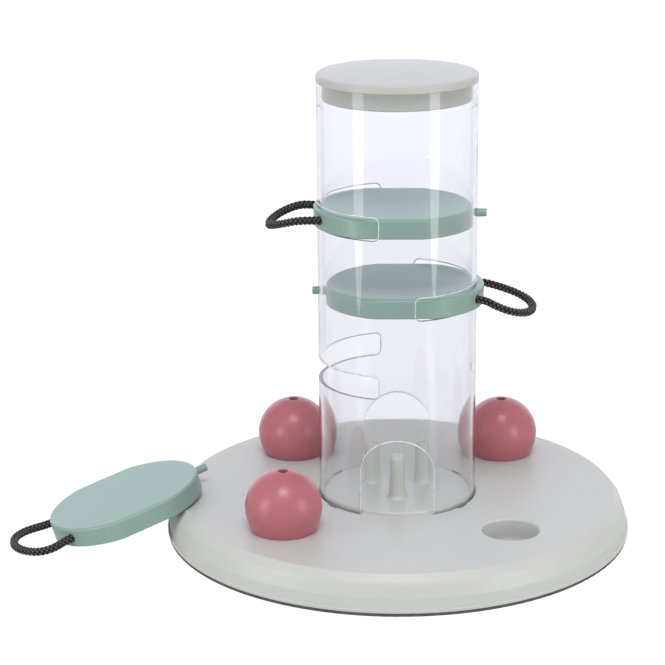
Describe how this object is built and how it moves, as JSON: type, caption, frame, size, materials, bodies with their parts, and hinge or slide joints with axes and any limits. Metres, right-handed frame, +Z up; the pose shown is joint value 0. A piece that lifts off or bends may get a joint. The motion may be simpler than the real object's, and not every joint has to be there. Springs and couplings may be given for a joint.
{
  "type": "cat treat tower",
  "caption": "Round base with treat wells under domes, a clear upright tube with a lid, and sliding shelves pulled out of its slots by cord loops; a loose shelf leans on the base.",
  "frame": {"origin": "on the tube's axis, at the floor the base's ring rests on", "axes": "+Z up along the tube, the shelves slide along X, the front arch opens towards -Y"},
  "size_m": [0.3319, 0.25, 0.2498],
  "materials": {
    "base_plastic": "satin moulded plastic, pale grey",
    "ring_rubber": "soft dark grey rubber",
    "clear_plastic": "clear polished plastic",
    "lid_plastic": "satin warm grey moulded plastic",
    "shelf_plastic": "satin sage green moulded plastic",
    "cord_braid": "black braided cord",
    "dome_plastic": "satin dusty red moulded plastic"
  },
  "bodies": {
    "base": {"base": "base_plastic", "non_slip_ring": "ring_rubber"},
    "tube": {"clear_tube": "clear_plastic"},
    "lid": {"lid": "lid_plastic"},
    "upper_shelf": {"upper_shelf": "shelf_plastic", "upper_knots": "cord_braid", "upper_cord": "cord_braid"},
    "lower_shelf": {"lower_shelf": "shelf_plastic", "lower_knots": "cord_braid", "lower_cord": "cord_braid"},
    "loose_shelf": {"loose_shelf": "shelf_plastic", "loose_knots": "cord_braid", "loose_cord": "cord_braid"},
    "dome_front_left": {"dome_front_left": "dome_plastic"},
    "dome_back_left": {"dome_back_left": "dome_plastic"},
    "dome_back_right": {"dome_back_right": "dome_plastic"}
  },
  "joints": [
    {"name": "tube_lift", "type": "slide", "parent": "base", "child": "tube", "axis": [0, 0, 1], "range_m": [0, 0.06]},
    {"name": "lid_lift", "type": "slide", "parent": "tube", "child": "lid", "axis": [0, 0, 1], "range_m": [0, 0.03]},
    {"name": "upper_shelf_pull", "type": "slide", "parent": "tube", "child": "upper_shelf", "axis": [-1, 0, 0], "range_m": [0, 0.09]},
    {"name": "lower_shelf_pull", "type": "slide", "parent": "tube", "child": "lower_shelf", "axis": [1, 0, 0], "range_m": [-0.0019, 0.09]},
    {"name": "loose_shelf_lift", "type": "slide", "parent": "base", "child": "loose_shelf", "axis": [0, 0, 1], "range_m": [0, 0.06]},
    {"name": "dome_front_left_lift", "type": "slide", "parent": "base", "child": "dome_front_left", "axis": [0, 0, 1], "range_m": [0, 0.05]},
    {"name": "dome_back_left_lift", "type": "slide", "parent": "base", "child": "dome_back_left", "axis": [0, 0, 1], "range_m": [0, 0.05]},
    {"name": "dome_back_right_lift", "type": "slide", "parent": "base", "child": "dome_back_right", "axis": [0, 0, 1], "range_m": [0, 0.05]}
  ]
}
